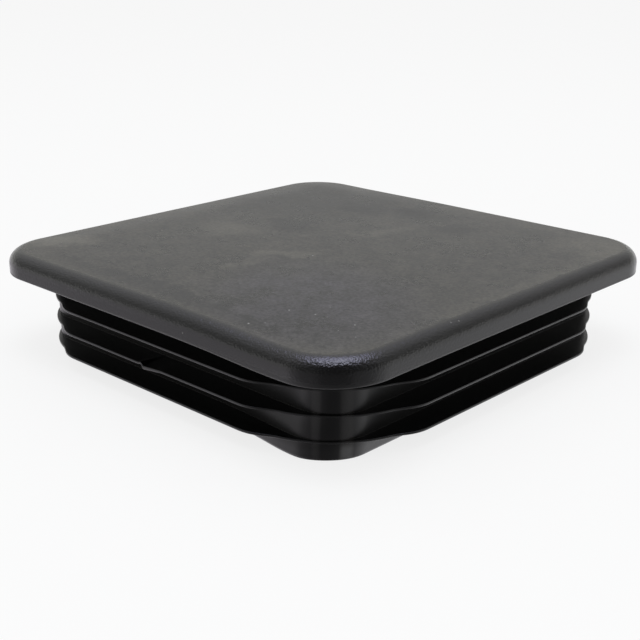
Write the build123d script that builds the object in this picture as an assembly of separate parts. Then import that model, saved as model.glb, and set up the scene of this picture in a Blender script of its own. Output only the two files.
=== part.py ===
"""Square tube end cap, moulded in one piece.

A flat square head closes the tube.  Below it a hollow skirt carries three thin
fins, one above the other.  Each fin is wide along the four sides, where it bends
as the cap is pushed in, and nearly flush with the skirt at the corners.

Millimetres, +Z up.  The origin is at the middle of the skirt's bottom edge, which
is the lowest level of the cap when it stands on its skirt.
"""
from build123d import *
import math
import os

# ---- driving dimensions -------------------------------------------------------

# head
HEAD_WIDTH = 100.0            # across the flats, the tube's outer width
HEAD_THICKNESS = 5.0          # at the rim
HEAD_CORNER_RADIUS = 12.0     # in plan
HEAD_EDGE_RADIUS = 3.0        # rounding of the top edge
HEAD_RIM_RADIUS = 0.3         # rounding of the lower edge
PLATE_THICKNESS = 3.0         # over the cavity, less than at the rim

# skirt
SKIRT_DEPTH = 17.4            # from the head's underside to the bottom edge
SKIRT_INSET = 8.0             # from the head's side in to the skirt's wall, room for the tube and fins
SKIRT_CORNER_RADIUS = 8.0     # in plan, outside
SKIRT_WALL = 2.0              # at the bottom edge
SKIRT_EDGE_RADIUS = 0.4       # rounding of the bottom edge, both sides
LEAD_IN_HEIGHT = 2.6          # the lowest stretch leans in, to find the tube
LEAD_IN_ANGLE = 6.0           # degrees from upright
CAVITY_DRAFT = 1.0            # degrees, so that the core leaves the mould
CAVITY_ROOT_RADIUS = 1.0      # where the walls meet the plate

# fins
FIN_COUNT = 3
FIRST_FIN_DEPTH = 4.25        # head's underside to the middle of the first tip
FIN_PITCH = 4.78              # from one tip to the next
FIN_TIP_THICKNESS = 0.6
FIN_ROOT_EXTRA = 0.6          # a fin is this much thicker at its root
FIN_TAPER_WIDTH = 5.0         # width over which the underside thins to the tip
FIN_EDGE_BREAK = 0.15         # bevel along the tip's upper edge
FIN_SIDE_REACH = 5.64         # proud of the wall along the sides
FIN_CORNER_REACH = 0.37       # proud of the wall at the corner's middle
FIN_CORNER_RADIUS = 21.3      # of the fin's outline round a corner
FLAP_END_MARGIN = 9.05        # the wide stretch stops this far short of the wall's face
FLAP_END_RADIUS = 8.7         # where the wide stretch curves in
FLAP_ROOT_RADIUS = 2.0        # where it meets the corner arc

# gate mark, inside where it does not show
GATE_DIAMETER = 2.4
GATE_HEIGHT = 0.5

# ---- worked-out dimensions ----------------------------------------------------

HEAD_BOTTOM = SKIRT_DEPTH
HEAD_TOP = SKIRT_DEPTH + HEAD_THICKNESS
SKIRT_WIDTH = HEAD_WIDTH - 2 * SKIRT_INSET
CAVITY_TOP = HEAD_TOP - PLATE_THICKNESS
CAVITY_WIDTH = SKIRT_WIDTH - 2 * SKIRT_WALL
CAVITY_CORNER_RADIUS = SKIRT_CORNER_RADIUS - SKIRT_WALL

FIN_SPAN = SKIRT_WIDTH + 2 * FIN_SIDE_REACH
FLAP_LENGTH = SKIRT_WIDTH - 2 * FLAP_END_MARGIN


def diagonal_point(width, corner_radius):
    """x (and y) of the middle of a rounded square's corner."""
    return width / 2 - corner_radius * (1 - math.sqrt(0.5))


def fin_corner_square_width():
    """Width of the rounded square whose corners are the fin's corner arcs."""
    middle = diagonal_point(SKIRT_WIDTH, SKIRT_CORNER_RADIUS)
    middle += FIN_CORNER_REACH * math.sqrt(0.5)
    return 2 * (middle + FIN_CORNER_RADIUS * (1 - math.sqrt(0.5)))


# ---- pieces of the moulding ---------------------------------------------------


def make_head():
    """The square plate, rounded above and crisp below."""
    outline = Pos(0, 0, HEAD_BOTTOM) * RectangleRounded(HEAD_WIDTH, HEAD_WIDTH, HEAD_CORNER_RADIUS)
    plate = extrude(outline, HEAD_THICKNESS)
    plate = fillet(plate.faces().sort_by(Axis.Z)[-1].edges(), HEAD_EDGE_RADIUS)
    return fillet(plate.faces().sort_by(Axis.Z)[0].edges(), HEAD_RIM_RADIUS)


def make_skirt():
    """The upright walls as one solid block, with the lead-in at the bottom."""
    outline = RectangleRounded(SKIRT_WIDTH, SKIRT_WIDTH, SKIRT_CORNER_RADIUS)
    lead_in_start = Pos(0, 0, LEAD_IN_HEIGHT) * outline
    upright = extrude(lead_in_start, SKIRT_DEPTH - LEAD_IN_HEIGHT)
    lead_in = extrude(lead_in_start, LEAD_IN_HEIGHT, dir=(0, 0, -1), taper=LEAD_IN_ANGLE)
    return upright + lead_in


def make_cavity():
    """The hollow inside the skirt, which rises into the head."""
    mouth = RectangleRounded(CAVITY_WIDTH, CAVITY_WIDTH, CAVITY_CORNER_RADIUS)
    hollow = extrude(mouth, CAVITY_TOP, taper=CAVITY_DRAFT)
    return fillet(hollow.faces().sort_by(Axis.Z)[-1].edges(), CAVITY_ROOT_RADIUS)


def fin_outline():
    """A fin in plan: four corner arcs, and a wide flap along each side."""
    width = fin_corner_square_width()
    outline = RectangleRounded(width, width, FIN_CORNER_RADIUS)
    outline += RectangleRounded(FIN_SPAN, FLAP_LENGTH, FLAP_END_RADIUS)
    outline += RectangleRounded(FLAP_LENGTH, FIN_SPAN, FLAP_END_RADIUS)
    # eight hollow corners, where a flap meets an arc
    hollow = [v for v in outline.vertices() if is_flap_root(v)]
    return fillet(hollow, FLAP_ROOT_RADIUS)


def is_flap_root(vertex):
    """True where a flap's end meets the corner arc, clear of the flap's face."""
    big = max(abs(vertex.X), abs(vertex.Y))
    small = min(abs(vertex.X), abs(vertex.Y))
    tangent_point = FLAP_LENGTH / 2 - FLAP_END_RADIUS
    return small > tangent_point + 0.01 and big < FIN_SPAN / 2 - 0.01


def make_fin(outline):
    """One fin, flat above and thinned from below, with the middle of its tip at z = 0."""
    underside = -FIN_TIP_THICKNESS / 2 - FIN_ROOT_EXTRA
    fin = extrude(Pos(0, 0, underside) * outline, FIN_ROOT_EXTRA + FIN_TIP_THICKNESS)
    lower = fin.faces().sort_by(Axis.Z)[0]
    fin = chamfer(lower.edges(), FIN_TAPER_WIDTH, FIN_ROOT_EXTRA, reference=lower)
    return chamfer(fin.faces().sort_by(Axis.Z)[-1].edges(), FIN_EDGE_BREAK)


def make_end_cap():
    """Head, skirt and fins as one solid, hollowed from below."""
    cap = make_head() + make_skirt()
    fin = make_fin(fin_outline())
    for number in range(FIN_COUNT):
        cap += Pos(0, 0, HEAD_BOTTOM - FIRST_FIN_DEPTH - number * FIN_PITCH) * fin
    cap -= make_cavity()
    bottom = cap.faces().sort_by(Axis.Z)[0]
    cap = fillet(bottom.edges(), SKIRT_EDGE_RADIUS)
    gate = Pos(0, 0, CAVITY_TOP) * Cylinder(
        GATE_DIAMETER / 2, GATE_HEIGHT, align=(Align.CENTER, Align.CENTER, Align.MAX))
    return cap + gate


if __name__ == "__main__":
    os.makedirs("parts", exist_ok=True)
    end_cap = make_end_cap()
    export_step(end_cap, "parts/end_cap.step")
    box = end_cap.bounding_box()
    print(f"end_cap: {box.size.X:.1f} x {box.size.Y:.1f} x {box.size.Z:.1f} mm, "
          f"{end_cap.volume / 1000:.1f} cm3, fins {FIN_SPAN:.1f} mm across")
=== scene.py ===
# %% [markdown]
# # A square end cap for a tube, in black polyethylene
# The cap is one moulding: a flat square head that covers the end of the tube, and under it
# a hollow skirt with three thin fins that grip the inside of the tube. The packed solid is
# loaded first. Everything that follows is drawn in the same frame, in metres, so the skin
# made here lies exactly where the solid is.

# %% The packed solid
import math

import bpy
import numpy as np
from mathutils import Matrix, Vector


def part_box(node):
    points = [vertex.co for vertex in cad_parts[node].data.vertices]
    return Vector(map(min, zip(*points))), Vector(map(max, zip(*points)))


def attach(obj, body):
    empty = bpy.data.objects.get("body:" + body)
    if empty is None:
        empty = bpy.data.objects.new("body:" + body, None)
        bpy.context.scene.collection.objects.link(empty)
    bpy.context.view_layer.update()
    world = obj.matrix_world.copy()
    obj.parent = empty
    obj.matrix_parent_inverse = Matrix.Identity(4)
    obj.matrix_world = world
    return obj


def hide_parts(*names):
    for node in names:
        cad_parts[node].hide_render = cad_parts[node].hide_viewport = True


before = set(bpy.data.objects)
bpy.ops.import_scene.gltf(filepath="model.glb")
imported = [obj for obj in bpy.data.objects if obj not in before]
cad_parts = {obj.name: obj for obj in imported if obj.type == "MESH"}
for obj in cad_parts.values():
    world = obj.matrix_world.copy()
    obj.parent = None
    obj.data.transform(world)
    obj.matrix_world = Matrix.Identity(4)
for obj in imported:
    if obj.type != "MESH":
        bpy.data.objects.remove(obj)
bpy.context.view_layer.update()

MM = 0.001
node_low, node_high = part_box("end_cap")
print("solid in mm:", [round(c / MM, 2) for c in (*node_low, *node_high)])

# %% [markdown]
# ## Where the eye stands
# The eye looks at one corner from a little above, so the head and two sides of fins show at
# once. The camera stands close, which makes the near corner look large.
# The matrix is written out from the direction, so that nothing has to be aimed by eye.

# %% Camera
AZIMUTH, ELEVATION, ROLL = (math.radians(angle) for angle in (43.34, 19.25, 0.36))
CAMERA_DISTANCE = 239.9 * MM
AIM_SIDEWAYS, AIM_HEIGHT = -0.96 * MM, 5.69 * MM
FRAME_PIXELS, FOCAL_PIXELS, SENSOR = 640, 1117, 36
NEAREST, FARTHEST = 0.01, 50

sideways = Vector((math.cos(AZIMUTH), math.sin(AZIMUTH), 0))
towards_camera = Vector((math.sin(AZIMUTH) * math.cos(ELEVATION),
                         -math.cos(AZIMUTH) * math.cos(ELEVATION),
                         math.sin(ELEVATION)))
upward = towards_camera.cross(sideways)
axis_x = sideways * math.cos(ROLL) + upward * math.sin(ROLL)
axis_y = upward * math.cos(ROLL) - sideways * math.sin(ROLL)
eye = sideways * AIM_SIDEWAYS + Vector((0, 0, AIM_HEIGHT)) + towards_camera * CAMERA_DISTANCE

camera_data = bpy.data.cameras.new("eye")
camera_data.sensor_width = SENSOR
camera_data.lens = FOCAL_PIXELS / FRAME_PIXELS * SENSOR
camera_data.clip_start = NEAREST
camera_data.clip_end = FARTHEST
camera = bpy.data.objects.new("eye", camera_data)
camera.matrix_world = Matrix([(axis_x[i], axis_y[i], towards_camera[i], eye[i]) for i in range(3)]
                             + [(0, 0, 0, 1)])
bpy.context.scene.collection.objects.link(camera)
bpy.context.scene.camera = camera
bpy.context.scene.view_settings.view_transform = "Standard"
print("camera at", [round(c / MM, 1) for c in eye], "mm, lens", round(camera_data.lens, 1))

# %% [markdown]
# ## Sums written as sums
# A finish is a small calculation done at every point of the surface. Blender draws it as
# boxes and wires, which are hard to read in a script. This small class wraps one output,
# so `1 - mask * 0.5` adds the Math nodes by itself.

# %% The value class
class Value:
    """One output of a node, which can be added, subtracted and multiplied."""

    def __init__(self, tree, output):
        self.tree, self.output = tree, output

    def sum_node(self, operation, *inputs):
        return self.tree.node("ShaderNodeMath", {"operation": operation}, dict(enumerate(inputs))).out(0)

    def __add__(self, other): return self.sum_node("ADD", self, other)
    def __sub__(self, other): return self.sum_node("SUBTRACT", self, other)
    def __mul__(self, other): return self.sum_node("MULTIPLY", self, other)
    def __rsub__(self, other): return self.sum_node("SUBTRACT", other, self)
    __radd__, __rmul__ = __add__, __mul__

    def least(self, other): return self.sum_node("MINIMUM", self, other)
    def most(self, other): return self.sum_node("MAXIMUM", self, other)
    def size(self): return self.sum_node("ABSOLUTE", self)

    def fade(self, start, end):
        """0 at start, 1 at end, smooth between; start may be the larger of the two."""
        if start > end:
            return 1 - self.fade(end, start)
        made = self.tree.node("ShaderNodeMapRange", {"interpolation_type": "SMOOTHSTEP"},
                              {0: self, 1: start, 2: end})
        return made.out(0)


print("a value can", ", ".join(name for name in vars(Value) if not name.startswith("_")))

# %% [markdown]
# Sums are for plain numbers. Colours, directions and shaders have nodes of their own, and a
# tree makes them all through one method, `node`: it sets the node's own options first and
# then its inputs, as numbers or as wires. The methods under it are short names for the
# kinds that come back often.

# %% The tree class
class Made:
    """A node just made: its outputs come back as values."""

    def __init__(self, tree, node):
        self.tree, self.node = tree, node

    def out(self, name):
        return Value(self.tree, self.node.outputs[name])


class Tree:
    """The node tree of a finish, the floor or the world."""

    def __init__(self, owner):
        owner.use_nodes = True
        self.nodes, self.links = owner.node_tree.nodes, owner.node_tree.links
        self.nodes.clear()

    def node(self, kind, settings=None, sockets=None):
        made = self.nodes.new(kind)
        for name, setting in (settings or {}).items():
            setattr(made, name, setting)
        for name, given in (sockets or {}).items():
            if isinstance(given, Value):
                self.links.new(given.output, made.inputs[name])
            else:
                made.inputs[name].default_value = given
        return Made(self, made)

    def blend(self, share, first, second, how="MIX"):
        """Two colours mixed, multiplied or added; each is a value or a tuple."""
        return self.node("ShaderNodeMix", {"data_type": "RGBA", "blend_type": how},
                         {0: share, 6: first, 7: second}).out(2)

    def colour(self, red, green, blue):
        return self.node("ShaderNodeCombineColor", {}, {0: red, 1: green, 2: blue}).out(0)

    def vector(self, operation, *vectors, result="Vector"):
        return self.node("ShaderNodeVectorMath", {"operation": operation},
                         dict(enumerate(vectors))).out(result)

    def either(self, share, first, second):
        """A mix of two shaders: the first where share is 0, the second where it is 1."""
        return self.node("ShaderNodeMixShader", {}, {0: share, 1: first, 2: second}).out(0)


print("a tree can", ", ".join(name for name in vars(Tree) if not name.startswith("_")))

# %% [markdown]
# ## The room
# Black plastic has almost no colour of its own: what the eye sees is the room mirrored in it.
# So the room matters more than the lamp. Here it is a pale room that gets dimmer on the
# side where the viewer stands, which keeps the near faces deep black and lets the far ones
# shine. A room could be built of walls, but a formula on the direction of the mirrored ray
# needs no geometry and keeps every step of light soft.

# %% Where a mirrored ray goes
world = bpy.data.worlds.new("pale_room")
bpy.context.scene.world = world
room = Tree(world)
direction = room.node("ShaderNodeTexCoord").out("Generated")

# 1 straight up, 0 level, -1 straight down.
up = room.node("ShaderNodeSeparateXYZ", {}, {0: direction}).out("Z")

# 1 towards the viewer's side of the room, 0 at the sides, -1 on the far side.
viewer_side = (math.sin(AZIMUTH), -math.cos(AZIMUTH), 0)
level_direction = room.vector("NORMALIZE", room.vector("MULTIPLY", direction, (1, 1, 0)))
towards = room.vector("DOT_PRODUCT", level_direction, viewer_side, result="Value")

# 1 on the viewer's right, -1 on the left.
leaning = room.vector("DOT_PRODUCT", direction, tuple(sideways), result="Value")
print("viewer's side of the room:", [round(c, 2) for c in viewer_side])

# %% What the gloss mirrors
WALL, DIMMER_LOW, BRIGHTER_HIGH = 0.665, 0.25, 0.5
GLOW_AT_LEVEL, GLOW_BELOW, TABLE_LIGHT = 0.7, 0.52, 0.8
DIMMER_BESIDE, MORE_ON_RIGHT = 0.08, 0.04
DARK_IN_FRONT, DARKER_AHEAD, LESS_BELOW = 0.65, 0.25, 0.08

# The far wall is dimmer near the table and brighter towards the ceiling.
far_wall = WALL - DIMMER_LOW * up.fade(0.30, 0.20) + BRIGHTER_HIGH * up.fade(0.4, 0.7)

# A glow at table height and below it lights the upright sides of the head and the skirt.
glow = GLOW_AT_LEVEL * up.fade(0.17, 0.08) * up.fade(-0.12, 0.0) + GLOW_BELOW * up.fade(0.0, -0.12)

# Light thrown back by the table lights what leans down: the foot and the lower edges.
table_light = TABLE_LIGHT * up.fade(-0.42, -0.52) * up.fade(-0.8, -0.68)

# The walls at the sides are a little dimmer, most of all on the right.
beside = (1 - (towards + 0.15).size().fade(0.0, 0.55)) * up.fade(0.1, 0.3) * up.fade(0.8, 0.6)
side_walls = (DIMMER_BESIDE + MORE_ON_RIGHT * leaning) * beside

# The viewer's side is dark, and darkest straight ahead, but not overhead.
darkness = DARK_IN_FRONT * towards.fade(0.0, 0.7) + DARKER_AHEAD * towards.fade(0.8, 0.97)
darkness = darkness * up.fade(0.93, 0.82) * (1 - LESS_BELOW * up.fade(0.0, -0.2))

mirrored = (far_wall + glow + table_light - side_walls) * (1 - darkness)
print("the room has", len(room.nodes), "nodes so far")

# %% The finer light, and its colour
SLANT_LIGHT, OVERHEAD_LIGHT, OVERHEAD_BLUE = 1.7, 1.9, 0.36

# Low on the left the light grows from one end of the cap's side to the other.
low = up.fade(0.1, -0.1)
left = leaning.fade(0.5, -0.5)
slant = towards * towards.size().fade(0.3, 0.12)
mirrored = mirrored * (0.94 + low * (0.12 + 0.03 * leaning)) * (1 + SLANT_LIGHT * slant * left * low)

# The ceiling straight overhead is the brightest, and bluish. Light from below is faintly
# purple on the left.
mirrored = mirrored * (1 + OVERHEAD_LIGHT * up.fade(0.8, 0.93))
from_below = up.fade(0.05, -0.2)
from_above = up.fade(0.8, 0.95)
green_share = 1 - (0.018 - 0.02 * leaning) * from_below
blue_share = 0.975 + 0.045 * from_below + 0.05 * up.fade(0.4, 0.6) + OVERHEAD_BLUE * from_above
mirrored_colour = room.colour(mirrored, mirrored * green_share, mirrored * blue_share)
print("the room has", len(room.nodes), "nodes so far")

# %% [markdown]
# Three skies are made, and the kind of ray picks one. A ray mirrored in gloss sees the
# room above. A ray that carries plain soft light sees an even grey white. A ray straight
# from the camera sees white, so the background is white without more light on the cap.

# %% The three skies
WHITE = (1, 1, 1, 1)
SOFT_LIGHT = 0.65


def sky(colour, strength):
    return room.node("ShaderNodeBackground", {}, {"Color": colour, "Strength": strength}).out(0)


world_ray = room.node("ShaderNodeLightPath")
soft_sky, gloss_sky, white_sky = sky(WHITE, SOFT_LIGHT), sky(mirrored_colour, 1.0), sky(WHITE, 1.0)
light_on_cap = room.either(world_ray.out("Is Glossy Ray"), soft_sky, gloss_sky)
whole_sky = room.either(world_ray.out("Is Camera Ray"), light_on_cap, white_sky)
room.node("ShaderNodeOutputWorld", {}, {"Surface": whole_sky})
print("the finished room has", len(room.nodes), "nodes")

# %% [markdown]
# ## The floor and the lamp
# The floor is a plain pale sheet. It is white by its own colour, and only part of that white
# is given to it as light, so the soft shadow of the cap stays on it. It isn't mirrored in
# the cap, as the room's formula already holds the light that comes from below.

# %% Floor
FLOOR_HALF, FLOOR_GAP = 3.0, 0.05 * MM
FLOOR_COLOUR, SHOWN_AS_LIGHT = 0.95, 0.8

floor_mesh = bpy.data.meshes.new("floor")
floor_corners = [(-1, -1), (1, -1), (1, 1), (-1, 1)]
floor_mesh.from_pydata([(x * FLOOR_HALF, y * FLOOR_HALF, 0) for x, y in floor_corners], [], [(0, 1, 2, 3)])
floor = bpy.data.objects.new("floor", floor_mesh)
floor.location.z = -FLOOR_GAP
floor.visible_glossy = False
bpy.context.scene.collection.objects.link(floor)

floor_finish = bpy.data.materials.new("pale_floor")
ground = Tree(floor_finish)
sheet = ground.node("ShaderNodeBsdfDiffuse", {}, {"Color": (FLOOR_COLOUR, FLOOR_COLOUR, FLOOR_COLOUR, 1)})
shine = ground.node("ShaderNodeEmission", {}, {"Color": WHITE, "Strength": 1.0})
paper = ground.either(SHOWN_AS_LIGHT, sheet.out(0), shine.out(0))
seen_directly = ground.node("ShaderNodeLightPath").out("Is Camera Ray")
ground.node("ShaderNodeOutputMaterial", {}, {"Surface": ground.either(seen_directly, sheet.out(0), paper)})
floor_mesh.materials.append(floor_finish)
print("floor:", 2 * FLOOR_HALF, "m wide, with", len(ground.nodes), "nodes")

# %% Lamp
LAMP_AT, LAMP_SIZE, LAMP_WATTS = Vector((0.10, -0.11, 0.75)), 0.45, 1.6
LAMP_COLOUR = (0.92, 0.96, 1.0)

lamp_data = bpy.data.lights.new("overhead", "AREA")
lamp_data.shape = "DISK"
lamp_data.size = LAMP_SIZE
lamp_data.energy = LAMP_WATTS
lamp_data.color = LAMP_COLOUR
lamp = bpy.data.objects.new("overhead", lamp_data)
lamp.location = LAMP_AT
lamp.rotation_euler = (-LAMP_AT).to_track_quat("-Z", "Y").to_euler()
bpy.context.scene.collection.objects.link(lamp)
print("lamp:", lamp.name, LAMP_WATTS, "W")

# %% [markdown]
# ## The sizes of the cap
# All sizes are in millimetres. The width and height of the head come from the solid, and the
# rest repeats its sizes, so that the skin lies in the same place: a head 5 mm thick, a skirt
# with 2 mm walls, and three fins that stand out as far as the inside of the tube needs. The
# tips of the fins are the one exception: 0.46 mm thick here, where the solid has 0.6 mm.

# %% Sizes
HEAD_HALF, HEAD_TOP = round(node_high[0] / MM, 3), round(node_high[2] / MM, 3)
HEAD_THICK, HEAD_CORNER, HEAD_EDGE, RIM_EDGE = 5.0, 12.0, 3.0, 0.3
HEAD_UNDER = HEAD_TOP - HEAD_THICK

SKIRT_INSET, SKIRT_CORNER, SKIRT_WALL, FOOT_EDGE = 8.0, 8.0, 2.0, 0.4
SKIRT_HALF = HEAD_HALF - SKIRT_INSET
LEAD_IN, LEAD_IN_SLOPE = 2.6, math.tan(math.radians(6))

PLATE_THICK, CEILING_EDGE, DRAFT = 3.0, 1.0, math.tan(math.radians(1))
CEILING = HEAD_TOP - PLATE_THICK
GATE_RADIUS, GATE_HEIGHT = 1.2, 0.5

TOP_FIN, FIN_PITCH, FIN_TIP, FIN_ROOT_EXTRA, FIN_TAPER = 13.15, 4.78, 0.46, 0.6, 5.0
FIN_HEIGHTS = tuple(TOP_FIN - FIN_PITCH * number for number in range(3))
FIN_CORNER_HALF, FIN_CORNER = 46.14, 21.3
FLAP_REACH, FLAP_HALF, FLAP_CORNER, FLAP_BLEND = 47.64, 32.95, 8.7, 0.8
print("head", 2 * HEAD_HALF, "mm wide, fins at", [round(height, 2) for height in FIN_HEIGHTS], "mm")

# %% [markdown]
# ## One outline, many rings
# The cap is a lathe job with a square outline: every level of it is a rounded square, seen
# from above. So each outline is written as a distance from the middle for every direction,
# as on a lathe. A box with bevels would be quicker, but it couldn't follow the fins, whose
# outline changes between the sides and the corners. Directions are packed closer together
# at the corners, where the outline turns, and at the nick in one fin.

# %% Directions
STATIONS = 500
CORNER_CROWDING, CORNER_SPREAD = 2.6, math.radians(13)
NICK_CROWDING, NICK_SPREAD = 6, math.radians(3)
NICK_X, NICK_Y = 0.6, -47.6
NICK_MIDDLE = math.atan2(NICK_Y, NICK_X) % (2 * math.pi)

fine = np.linspace(0, 2 * np.pi, 20001)
off_diagonal = np.abs((fine % (np.pi / 2)) - np.pi / 4)
crowding = 1 + CORNER_CROWDING * np.exp(-(off_diagonal / CORNER_SPREAD) ** 2)
crowding += NICK_CROWDING * np.exp(-((fine - NICK_MIDDLE) / NICK_SPREAD) ** 2)
counted = np.concatenate([[0], np.cumsum((crowding[1:] + crowding[:-1]) / 2)])
ANGLE = np.interp(np.arange(STATIONS) / STATIONS * counted[-1], counted, fine)
COS, SIN = np.cos(ANGLE), np.sin(ANGLE)
print("steps between directions, in degrees:",
      round(math.degrees(np.diff(ANGLE).min()), 2), "to", round(math.degrees(np.diff(ANGLE).max()), 2))

# %% [markdown]
# A rounded square that is moved inwards keeps its shape with a smaller corner, so an edge
# needs no outline of its own: `square` takes the inset. `soft_most` joins two outlines as a
# mould maker would, with a small curve in the hollow between them.

# %% Outlines
def rounded(half_x, half_y, corner):
    """Distance from the middle to a rounded rectangle, for every direction."""
    c, s = np.abs(COS), np.abs(SIN)
    straight = np.minimum(half_x / np.maximum(c, 1e-9), half_y / np.maximum(s, 1e-9))
    inner_x, inner_y = half_x - corner, half_y - corner
    along = inner_x * c + inner_y * s
    rest = np.maximum(along ** 2 - (inner_x ** 2 + inner_y ** 2 - corner ** 2), 0)
    on_arc = (straight * c > inner_x) & (straight * s > inner_y)
    return np.where(on_arc, along + np.sqrt(rest), straight)


def square(half, corner, inset=0.0):
    """A rounded square, moved inwards by `inset`."""
    return rounded(half - inset, half - inset, max(corner - inset, 0.05))


def soft_most(a, b, blend):
    """The larger of two outlines, with the hollow between them filled by a small curve."""
    overlap = np.maximum(blend - np.abs(a - b), 0) / blend
    return np.maximum(a, b) + overlap ** 2 * blend / 4


head_outline = square(HEAD_HALF, HEAD_CORNER)
skirt_outline = square(SKIRT_HALF, SKIRT_CORNER)
flaps = np.maximum(rounded(FLAP_REACH, FLAP_HALF, FLAP_CORNER), rounded(FLAP_HALF, FLAP_REACH, FLAP_CORNER))
fin_outline = soft_most(square(FIN_CORNER_HALF, FIN_CORNER), flaps, FLAP_BLEND)
fin_depth = fin_outline - skirt_outline
print("on lines from the middle, a fin passes the wall by",
      round(fin_depth.min(), 2), "to", round(fin_depth.max(), 2), "mm")

# %% [markdown]
# A thin wall rarely cools quite straight. On this cap the skirt is bent out a little at the
# foot, near one corner, and less higher up. `bowed` moves the outline there, and then looks
# up the moved points again at the directions of the rings.

# %% The bent wall
BOW, BOW_AT, BOW_FROM = 1.6, 32.8, 9.5
BOW_TO_MIDDLE, BOW_TO_CORNER = 10.0, 5.7


def bowed(outline, height):
    """The outline of the wall at a height, bent out near one corner."""
    push = BOW * max(0.0, 1 - height / BOW_FROM)
    x, y = outline * COS, outline * SIN
    width = np.where(x < BOW_AT, BOW_TO_MIDDLE, BOW_TO_CORNER)
    y = y - push * np.exp(-((x - BOW_AT) / width) ** 2) * np.clip(-y / 20, 0, 1)
    moved_angle = np.unwrap(np.arctan2(y, x)) % (2 * np.pi)
    return np.interp(ANGLE, moved_angle, np.hypot(x, y), period=2 * np.pi)


bend = bowed(skirt_outline, 0) - skirt_outline
print("on lines from the middle, the foot is bent out by up to", round(bend.max(), 2), "mm")

# %% [markdown]
# ## The rings, from the top to the inside
# The list starts in the middle of the head, goes out over the rounded edge, down the side,
# in under the head, down the wall over each fin, round the foot and up inside. Each step
# adds a ring: a distance from the middle and a height. Small edges get several rings, as a
# real edge is never sharp and a thin line of light runs along it. Beside an edge goes one
# ring more, on the flat, so that the flat is shaded flat.

# %% The head
# Parts of the way from the middle to the edge, closer together at the border of the top.
FLAT_TOP_PARTS = (*np.linspace(0.02, 0.80, 9), 0.84, 0.87, 0.9, 0.92, 0.94, 0.96, 0.98, 0.994, 1)
SIDE_MIDDLE, BESIDE_RIM = 18.5, 0.12
rings = []


def ring(reach, height):
    rings.append([np.broadcast_to(v, STATIONS).astype(float) for v in (reach, height)])


def quarter(steps):
    """A quarter round as pairs (out, down), from (0, 0) on the flat to (1, 1) on the side."""
    return [(math.sin(t), 1 - math.cos(t)) for t in np.linspace(0, math.pi / 2, steps + 1)]


for part in FLAT_TOP_PARTS:
    ring(square(HEAD_HALF, HEAD_CORNER, HEAD_EDGE) * part, HEAD_TOP)
flat_rings = len(rings)
for out, down in quarter(12)[1:]:
    ring(square(HEAD_HALF, HEAD_CORNER, HEAD_EDGE * (1 - out)), HEAD_TOP - HEAD_EDGE * down)
ring(head_outline, SIDE_MIDDLE)
ring(head_outline, HEAD_UNDER + RIM_EDGE + BESIDE_RIM)
for out, down in quarter(3):
    ring(square(HEAD_HALF, HEAD_CORNER, RIM_EDGE * down), HEAD_UNDER + RIM_EDGE * (1 - out))
rim_rings = len(rings)
print(rim_rings, "rings make the head, of which", flat_rings, "are on its flat top")

# %% Under the head
UNDERSIDE_PARTS = (0.94, 0.6, 0.25)
HOLLOW_STEPS = ((0.37, 0), (0.25, 0), (0.07, 0.07), (0, 0.25), (0, 0.37))

for part in UNDERSIDE_PARTS:
    ring(skirt_outline + (head_outline - skirt_outline) * part, HEAD_UNDER)
for out, down in HOLLOW_STEPS:
    ring(skirt_outline + out, HEAD_UNDER - down)
print(len(rings) - rim_rings, "rings lie under the head")

# %% [markdown]
# ## A fin
# A fin has to be stiff at its root and soft at its tip, so it is flat above and gets
# thinner from below, all the way to a small round tip. One function makes the rings of a
# fin at any height, and it is called three times. It keeps the fin outside the wall also
# where the wall is bent. At the corners a fin hardly stands out, so each small edge is also
# limited to a part of the span between the wall and the tip.

# %% Fins
TIP_ROUND, ROOT_HOLLOW, BESIDE_EDGE = 0.14, 0.012, 0.08
LEAST_STAND_OFF = 0.3


def fin(middle):
    """Rings down over one fin, whose tip is centred on the height `middle`."""
    wall = bowed(skirt_outline, middle)
    edge = soft_most(fin_outline, wall + LEAST_STAND_OFF, LEAST_STAND_OFF)
    span = edge - wall
    neck = edge - np.minimum(TIP_ROUND, span * 0.35)
    upper = middle + FIN_TIP / 2
    flats = [wall + np.minimum(ROOT_HOLLOW, span * 0.05), wall + np.minimum(BESIDE_EDGE, span * 0.2),
             (wall + neck) / 2, neck - np.minimum(0.1, span * 0.1)]

    def lower(reach):
        return middle - FIN_TIP / 2 - FIN_ROOT_EXTRA * np.clip((edge - reach) / FIN_TAPER, 0, 1)

    for above in (BESIDE_EDGE, ROOT_HOLLOW):
        ring(wall, upper + above)
    for reach in flats:
        ring(reach, upper)
    for out, down in quarter(4):
        ring(neck + (edge - neck) * out, upper - TIP_ROUND * down)
    for out, down in reversed(quarter(4)):
        reach = neck + (edge - neck) * out
        ring(reach, lower(reach) + TIP_ROUND * down)
    for reach in reversed(flats):
        ring(reach, lower(reach))
    for below in (ROOT_HOLLOW, BESIDE_EDGE):
        ring(wall, lower(wall) - below)


for number, middle in enumerate(FIN_HEIGHTS):
    if number > 0:
        halfway = (FIN_HEIGHTS[number - 1] + middle) / 2
        ring(bowed(skirt_outline, halfway), halfway)
    fin(middle)
print(len(rings), "rings down to the lowest fin")

# %% [markdown]
# ## The foot and the inside
# The lowest part of the skirt leans in, which leads the cap into the tube. Inside, the wall
# has a slight draft, so that the moulding comes off its core, and in the middle of the
# ceiling stands the small stub where the plastic flowed in.

# %% The foot
FOOT_INSET = LEAD_IN * LEAD_IN_SLOPE
FOOT_EDGE_WIDE, BESIDE_FOOT = 0.32, 0.15
INNER_HALF, INNER_CORNER, INNER_EDGE = SKIRT_HALF - SKIRT_WALL, SKIRT_CORNER - SKIRT_WALL, 0.2


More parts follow.
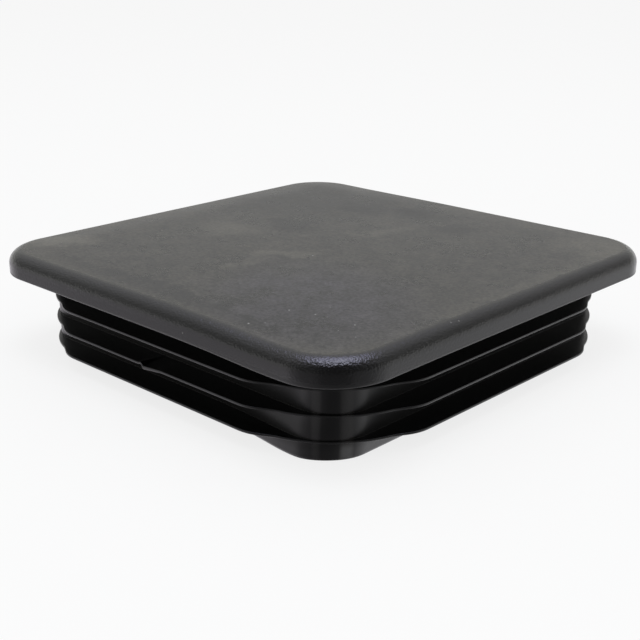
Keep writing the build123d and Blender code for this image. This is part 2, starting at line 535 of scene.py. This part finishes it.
def foot(height, inset):
    """A ring on the outside of the leaning foot."""
    ring(bowed(square(SKIRT_HALF, SKIRT_CORNER, inset), height), height)


for above_floor in (LEAD_IN, 1.5, FOOT_EDGE + BESIDE_FOOT, FOOT_EDGE):
    foot(above_floor, (LEAD_IN - above_floor) * LEAD_IN_SLOPE)
for out, down in quarter(4)[1:]:
    foot(FOOT_EDGE * (1 - out), FOOT_INSET + FOOT_EDGE_WIDE * down)
for out, down in quarter(3):
    inner_outline = square(INNER_HALF, INNER_CORNER, INNER_EDGE * out - INNER_EDGE)
    ring(bowed(inner_outline, 0), INNER_EDGE * down)
print("the foot stands", round(FOOT_INSET, 2), "mm inside the wall")

# %% The inside
WALL_LEVELS = (0.4, 4.0, 8.0, 12.0, 16.0, CEILING - CEILING_EDGE - 0.2, CEILING - CEILING_EDGE)
CEILING_PARTS = (0.9, 0.7, 0.5, 0.3, 0.12)
GATE_EDGE, GATE_CORNER = 0.15, 0.1

for above_floor in WALL_LEVELS:
    ring(bowed(square(INNER_HALF, INNER_CORNER, above_floor * DRAFT), above_floor), above_floor)
for out, down in quarter(5)[1:]:
    ceiling_outline = square(INNER_HALF, INNER_CORNER, CEILING * DRAFT + CEILING_EDGE * down)
    ring(ceiling_outline, CEILING - CEILING_EDGE * (1 - out))
for part in CEILING_PARTS:
    ring(GATE_RADIUS + (ceiling_outline - GATE_RADIUS) * part, CEILING)
ring(GATE_RADIUS + GATE_EDGE, CEILING)
ring(GATE_RADIUS, CEILING - GATE_CORNER)
ring(GATE_RADIUS, CEILING - GATE_HEIGHT + GATE_CORNER)
ring(GATE_RADIUS - GATE_EDGE, CEILING - GATE_HEIGHT)
ring(GATE_RADIUS * 0.5, CEILING - GATE_HEIGHT)
print(len(rings), "rings of", STATIONS, "points")

# %% [markdown]
# ## What cooling and use have done
# A moulding never matches its drawing. The head of this one droops at the near corner, its
# far left border rolls down slightly, and one fin has a nick with a burr beside it. Each is
# a small push on the points of the rings. Most are too small to notice as shapes, but they
# change where the light falls.

# %% Points
reach = np.array([r for r, _ in rings])
level = np.array([z for _, z in rings])
points = np.stack([reach * COS, reach * SIN, level], axis=-1).reshape(-1, 3)
away = np.abs(points[:, :2]) - (HEAD_HALF - HEAD_CORNER)
inside_edge = HEAD_CORNER - np.hypot(*np.maximum(away, 0).T) - np.minimum(away.max(axis=1), 0)
print(len(points), "points, up to", round(float(inside_edge.max()), 2), "mm inside the head's edge")

# %% Departures from the drawing
DROOP, DROOP_X, DROOP_Y, DROOP_WIDE, DROOP_DEEP, DROOP_FROM = 0.62, 35, -50, 14, 16, 15.5
ROLL_DOWN, ROLL_FROM, ROLL_OVER, ROLL_END, ROLL_CURVE = 0.17, 10.5, 6, 1.25, 1.4
ROLL_FADE, ROLL_FAR_SIDE = 30, 0.2
NICK_START, NICK_STEP, NICK_END, NICK_DEPTH, NICK_BELOW = -2.0, 0.4, 3.8, 0.45, 0.25
NICK_FROM_Y, NICK_FADE, NEAR_FIN = 44.5, 2.5, 1.2
BURR_X, BURR_WIDE, BURR_HEIGHT = -2.3, 0.3, 0.2


def part_way(values, start, span, end=1):
    """0 before start, 1 at start + span, and held at `end` after it."""
    return np.clip((values - start) / span, 0, end)


def settle(points):
    """Move the points, one departure after the other; z follows, as it is part of them."""
    x, y, z = points.T
    corner = np.exp(-((x - DROOP_X) / DROOP_WIDE) ** 2 - ((y - DROOP_Y) / DROOP_DEEP) ** 2)
    z -= DROOP * corner * part_way(z, DROOP_FROM, HEAD_UNDER - DROOP_FROM)

    roll = ROLL_DOWN * part_way(ROLL_FROM - inside_edge, 0, ROLL_OVER, ROLL_END) ** ROLL_CURVE
    far_left = np.maximum(part_way(-x, 0, ROLL_FADE), ROLL_FAR_SIDE * part_way(y, 0, ROLL_FADE))
    z -= roll * part_way(z, CEILING, PLATE_THICK) * far_left

    second_fin = (np.abs(z - FIN_HEIGHTS[1]) < NEAR_FIN) * part_way(-y, NICK_FROM_Y, NICK_FADE)
    nicked = part_way(x, NICK_START, NICK_STEP) * part_way(NICK_END - x, 0, NICK_END - NICK_START)
    z -= (NICK_DEPTH + NICK_BELOW * (z < FIN_HEIGHTS[1])) * nicked * second_fin
    z += BURR_HEIGHT * np.exp(-((x - BURR_X) / BURR_WIDE) ** 2) * second_fin


drawn_level = points[:, 2].copy()
settle(points)
print("the points moved by up to", round(float(np.abs(points[:, 2] - drawn_level).max()), 2), "mm")

# %% [markdown]
# ## The skin
# The rings become one closed mesh: a strip of four-sided faces between each pair of rings,
# and a fan that closes the middle at both ends. It is shaded smooth, as the edges have
# rings of their own. The skin also carries three labels for the finish, each one number for
# every point: the grained head, its top face and the border of the top.

# %% Mesh
rows = len(rings)
index = np.arange(rows * STATIONS).reshape(rows, STATIONS)
here, there = index[:-1], index[1:]
strips = np.stack([here, there, np.roll(there, -1, axis=1), np.roll(here, -1, axis=1)], axis=-1)
faces = strips.reshape(-1, 4).tolist()
top_middle, gate_middle = len(points), len(points) + 1
first, last = index[0].tolist(), index[-1].tolist()
faces += [(top_middle, a, b) for a, b in zip(first, first[1:] + first[:1])]
faces += [(gate_middle, b, a) for a, b in zip(last, last[1:] + last[:1])]
points = np.vstack([points, [(0, 0, points[first, 2].mean()), (0, 0, points[last, 2].mean())]])

skin = bpy.data.meshes.new("end_cap_skin")
skin.from_pydata((points * MM).tolist(), [], faces)
skin.validate()
skin.polygons.foreach_set("use_smooth", [True] * len(skin.polygons))
print("skin:", len(skin.vertices), "points,", sum(len(f.vertices) - 2 for f in skin.polygons), "triangles")

# %% The labels that the finish reads
TOP_FADE = 2.5
BORDER_WIDTH, BORDER_FADE = 9, 5


def label(name, values, at_top, at_gate):
    """Write one number per point; the two middle points come last."""
    attribute = skin.attributes.new(name, "FLOAT", "POINT")
    attribute.data.foreach_set("value", np.concatenate([values, [at_top, at_gate]]))


ring_number = np.repeat(np.arange(rows), STATIONS)
label("grained", (ring_number < rim_rings) * 1.0, 1.0, 0.0)
label("top_face", np.clip(1 - (ring_number - flat_rings + 1) / TOP_FADE, 0, 1), 1.0, 0.0)
label("border", np.clip((BORDER_WIDTH - inside_edge) / BORDER_FADE, 0, 1), 0.0, 0.0)
skin.update()
print("labels:", [name for name in ("grained", "top_face", "border") if name in skin.attributes])

# %% The piece
cap = bpy.data.objects.new("end_cap_skin", skin)
bpy.context.scene.collection.objects.link(cap)
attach(cap, "root")
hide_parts("end_cap")
print("piece:", cap.name)

# %% [markdown]
# ## Black polyethylene
# Moulded black plastic is nearly colourless. The head carries a fine spark-eroded grain,
# while the skirt and its fins are plain, and a little duller. The labels on the skin tell
# the finish where it is, and noise of several sizes makes it uneven, as it is on any
# moulding that has been handled. A picture could be wrapped round the cap instead, but
# noise has no seams and stays sharp from any distance.

# %% Where on the cap
finish = bpy.data.materials.new("black_polyethylene")
plastic = Tree(finish)
place = plastic.node("ShaderNodeTexCoord").out("Object")
split = plastic.node("ShaderNodeSeparateXYZ", {}, {0: place})
x_mm, y_mm, z_mm = (split.out(axis) * (1 / MM) for axis in "XYZ")


def labelled(name):
    return plastic.node("ShaderNodeAttribute", {"attribute_name": name}).out("Fac")


def noise(scale_mm, detail, roughness=0.5):
    """Noise between 0 and 1, with lumps of about the given size."""
    return plastic.node("ShaderNodeTexNoise", {}, {"Vector": place, "Scale": 1 / (scale_mm * MM),
                                                   "Detail": detail, "Roughness": roughness}).out(0)


on_head, on_top, on_border = labelled("grained"), labelled("top_face"), labelled("border")
grain = noise(0.36, 1)
flecks = noise(0.6, 2, 0.6)
ripples = noise(2.4, 2)
patches = noise(3.0, 4, 0.6)
clouds = noise(11, 3)
print("finish nodes so far:", len(plastic.nodes))

# %% [markdown]
# Handling leaves soft marks on the top, where dust was rubbed off or pressed on. Each is an
# ellipse whose rim is frayed by adding noise to the place where it is looked up.

# %% Marks on the top
# Each mark: x, y, half length and half width in mm, turn in degrees, strength.
MARKS = [(41, 38, 11, 9, 0, 1.0), (-41, -36, 9, 6, 40, 1.8), (0, -10, 9, 3, 45, 1.3),
         (-3, -20, 10, 3, 75, 0.8), (-24, -5, 9, 7, 0, 1.2), (2, 17, 11, 3, 70, 1.0),
         (-3, 35, 8, 6, 0, -1.2), (-15, 30, 7, 6, 0, -1.0), (-16, 7, 8, 6, 0, -1.2),
         (11, 30, 7, 6, 30, -1.0), (0, -44, 40, 4, 0, -1.0), (-30, 32, 36, 26, 45, -0.7)]
# The next ellipse is no mark: it only sets where the dust's tone turns to a painted reflection blue.
NEAR_CORNER_BLUE = (24, -28, 30, 24, -30, 0.8)
FRAYED_X, FRAYED_Y = 15, 9
x_frayed = x_mm + (clouds - 0.5) * FRAYED_X
y_frayed = y_mm + (patches - 0.5) * FRAYED_Y


def rubbed(x, y, length, width, turn, strength):
    """A soft mark on the head's top: dustier where strength is above 0."""
    c, s = math.cos(math.radians(turn)), math.sin(math.radians(turn))
    along = ((x_frayed - x) * c + (y_frayed - y) * s) * (1 / length)
    aside = ((y_frayed - y) * c - (x_frayed - x) * s) * (1 / width)
    return (along * along + aside * aside).fade(1, 0) * strength


marks = sum(rubbed(*row) for row in MARKS)
# The near-corner ellipse is a mask for the painted reflection blue, not a mark.
near_corner_blue = rubbed(*NEAR_CORNER_BLUE)
print(len(MARKS), "marks; finish nodes so far:", len(plastic.nodes))

# %% [markdown]
# Dust is a thin pale layer on the black. It lies on the top alone, thicker or thinner in
# the marks. Along the border of the top the layer is raised as painted sheen. Its tone turns
# from brownish to a painted reflection blue towards the near corner.

# %% Dust, with a painted sheen and a painted reflection tint
DUST, BORDER_SHEEN, MARK_DUST = 0.021, 0.7, 1.2
BROWN_DUST, REFLECTION_BLUE = (1.0, 0.93, 0.72, 1), (1.0, 0.92, 1.1, 1)

unevenness = (clouds - 0.5) * 2.2 + (patches - 0.5) * 4 + (flecks - 0.5) * 6
# The border term adds painted sheen along the border of the top.
dust_and_sheen = DUST * on_top * (1 + unevenness + MARK_DUST * marks + BORDER_SHEEN * on_border)
# Towards the near corner the tone is a painted reflection blue.
dust_and_reflection_colour = plastic.blend(near_corner_blue, BROWN_DUST, REFLECTION_BLUE)
print("dust reflects about", DUST, "of the light")

# %% [markdown]
# Specks are single bright grains, a few tenths of a millimetre wide, so each one has its
# own place on the surface. Two upright pale streaks on the skirt, near the corner, are
# painted reflections: they lighten the wall and the foot where the room is mirrored. Scuffs are upright
# streaks on the skirt, near the corner, where
# the cap was pushed into a tube.

# %% Specks
# Each row: x, y, z and radius in mm, strength. Those on the top come first.
SPECKS = [(24.4, -35.1, 22.25, 0.22, 0.3), (29.2, -33.5, 22.22, 0.22, 0.3), (41.6, -37, 22.14, 0.22, 0.15),
          (37.7, -32.8, 22.21, 0.22, 0.3), (24.1, -44.5, 22.1, 0.25, 0.3), (3.8, -7.7, 22.4, 0.25, 0.3),
          (28.5, -29, 22.31, 0.22, 0.15), (37.4, -36.6, 22.1, 0.22, 0.12), (31.6, -33.1, 22.21, 0.22, 0.12),
          (25.9, -42.3, 22.08, 0.22, 0.12), (48.6, -18.3, 22.1, 0.3, 0.14), (48.3, -20.2, 22.2, 0.25, 0.14),
          (0.9, -50, 21, 0.3, 0.14), (9.9, -49.9, 20.88, 0.25, 0.14), (12.3, -50, 20.66, 0.25, 0.14),
          (50, -33.8, 20.73, 0.3, 0.14), (13.3, -50, 19.04, 0.2, 0.14), (-2, -50, 17.4, 0.25, 0.14),
          (24.3, -50, 17.15, 0.2, 0.14)]


def speck(x, y, z, radius, strength):
    """A tiny pale spot with a soft rim."""
    away = plastic.vector("DISTANCE", place, (x * MM, y * MM, z * MM), result="Value") * (1 / MM)
    return away.fade(radius, radius * 0.4) * strength


specks = sum(speck(*row) for row in SPECKS)
print(len(SPECKS), "specks; finish nodes so far:", len(plastic.nodes))

# %% Painted reflection streaks
# Each painted reflection streak: x, y and half width in mm.
# Both streaks are painted reflections on the skirt's corner, and the right one is painted stronger on the
# foot.
LEFT_REFLECTION_STREAK, LEFT_STRENGTH = (37.0, -41.4, 1.1), 0.014
RIGHT_REFLECTION_STREAK, RIGHT_STRENGTH, MORE_AT_FOOT = (40.9, -38.0, 1.5), 0.012, 0.055


def streak(x, y, width):
    """1 along an upright line on the skirt, fading out at `width` millimetres from it."""
    side_x, side_y = x_mm - x, y_mm - y
    return (side_x * side_x + side_y * side_y).fade(width * width, 0) * (1 - on_head)


right_strength = RIGHT_STRENGTH + MORE_AT_FOOT * z_mm.fade(3.6, 1.8)
painted_reflection_streaks = streak(*LEFT_REFLECTION_STREAK) * LEFT_STRENGTH + streak(*RIGHT_REFLECTION_STREAK) * right_strength
print("2 scuffs; finish nodes so far:", len(plastic.nodes))

# %% [markdown]
# The shader adds it all up. The base colour is the black plus the pale layer, which is
# dust-coloured on the top and white in specks and in the painted reflection streaks. Grain
# and ripples only tilt the surface, through a bump: the grain shows most on the rounded
# edge, and the ripples on the top. The lower edge of the head is a little duller, so only a
# weak line of light runs along it.

# %% Colour
# The skirt's black is far darker than the head's, though both are one plastic: painted shade for the deep
# gaps between the fins.
SHADED_SKIRT_BLACK, HEAD_BLACK = (0.0004, 0.0004, 0.0005, 1), (0.0050, 0.0048, 0.0052, 1)
WHITER_IN_SPECK, WHITER_IN_REFLECTION_STREAK = 8, 20

black = plastic.blend(on_head, SHADED_SKIRT_BLACK, HEAD_BLACK)
# The painted reflection streaks whiten the pale layer, as the specks do.
whitened = (WHITER_IN_SPECK * specks + WHITER_IN_REFLECTION_STREAK * painted_reflection_streaks).least(1)
pale_colour = plastic.blend(whitened, dust_and_reflection_colour, WHITE)
pale_amount = dust_and_sheen.most(0) + specks + painted_reflection_streaks
pale_grey = plastic.colour(pale_amount, pale_amount, pale_amount)
pale_layer = plastic.blend(1.0, pale_colour, pale_grey, "MULTIPLY")
base_colour = plastic.blend(1.0, black, pale_layer, "ADD")
print("colour done; finish nodes so far:", len(plastic.nodes))

# %% Roughness, grain and the shader
SKIRT_ROUGHNESS, HEAD_SMOOTHER, TOP_ROUGHER, LOWER_EDGE_ROUGHER = 0.34, 0.16, 0.12, 0.28
GRAIN_ON_HEAD, LESS_ON_TOP, MORE_ON_EDGE, RIPPLES_ON_TOP = 0.3, 0.2, 0.7, 0.22
BUMP_DEPTH = 0.1 * MM
IOR, SPECULAR = 1.5, 0.42

lower_edge = on_head * z_mm.fade(18.0, 17.7)
top_roughness = TOP_ROUGHER + (clouds - 0.5) * 0.20 + (patches - 0.5) * 0.12
roughness = SKIRT_ROUGHNESS - HEAD_SMOOTHER * on_head
roughness = roughness + LOWER_EDGE_ROUGHER * lower_edge + on_top * top_roughness

rounded_edge = on_head * (1 - on_top) * z_mm.fade(19.0, 20.4)
grain_depth = on_head * (GRAIN_ON_HEAD - LESS_ON_TOP * on_top) + MORE_ON_EDGE * rounded_edge
relief = grain * grain_depth + RIPPLES_ON_TOP * on_top * ripples
bump = plastic.node("ShaderNodeBump", {}, {"Strength": 1.0, "Distance": BUMP_DEPTH, "Height": relief})

shader = plastic.node("ShaderNodeBsdfPrincipled", {}, {
    "Base Color": base_colour, "Roughness": roughness, "Normal": bump.out(0),
    "IOR": IOR, "Specular IOR Level": SPECULAR})
plastic.node("ShaderNodeOutputMaterial", {}, {"Surface": shader.out(0)})
skin.materials.append(finish)
print("the finish has", len(plastic.nodes), "nodes")

# %% [markdown]
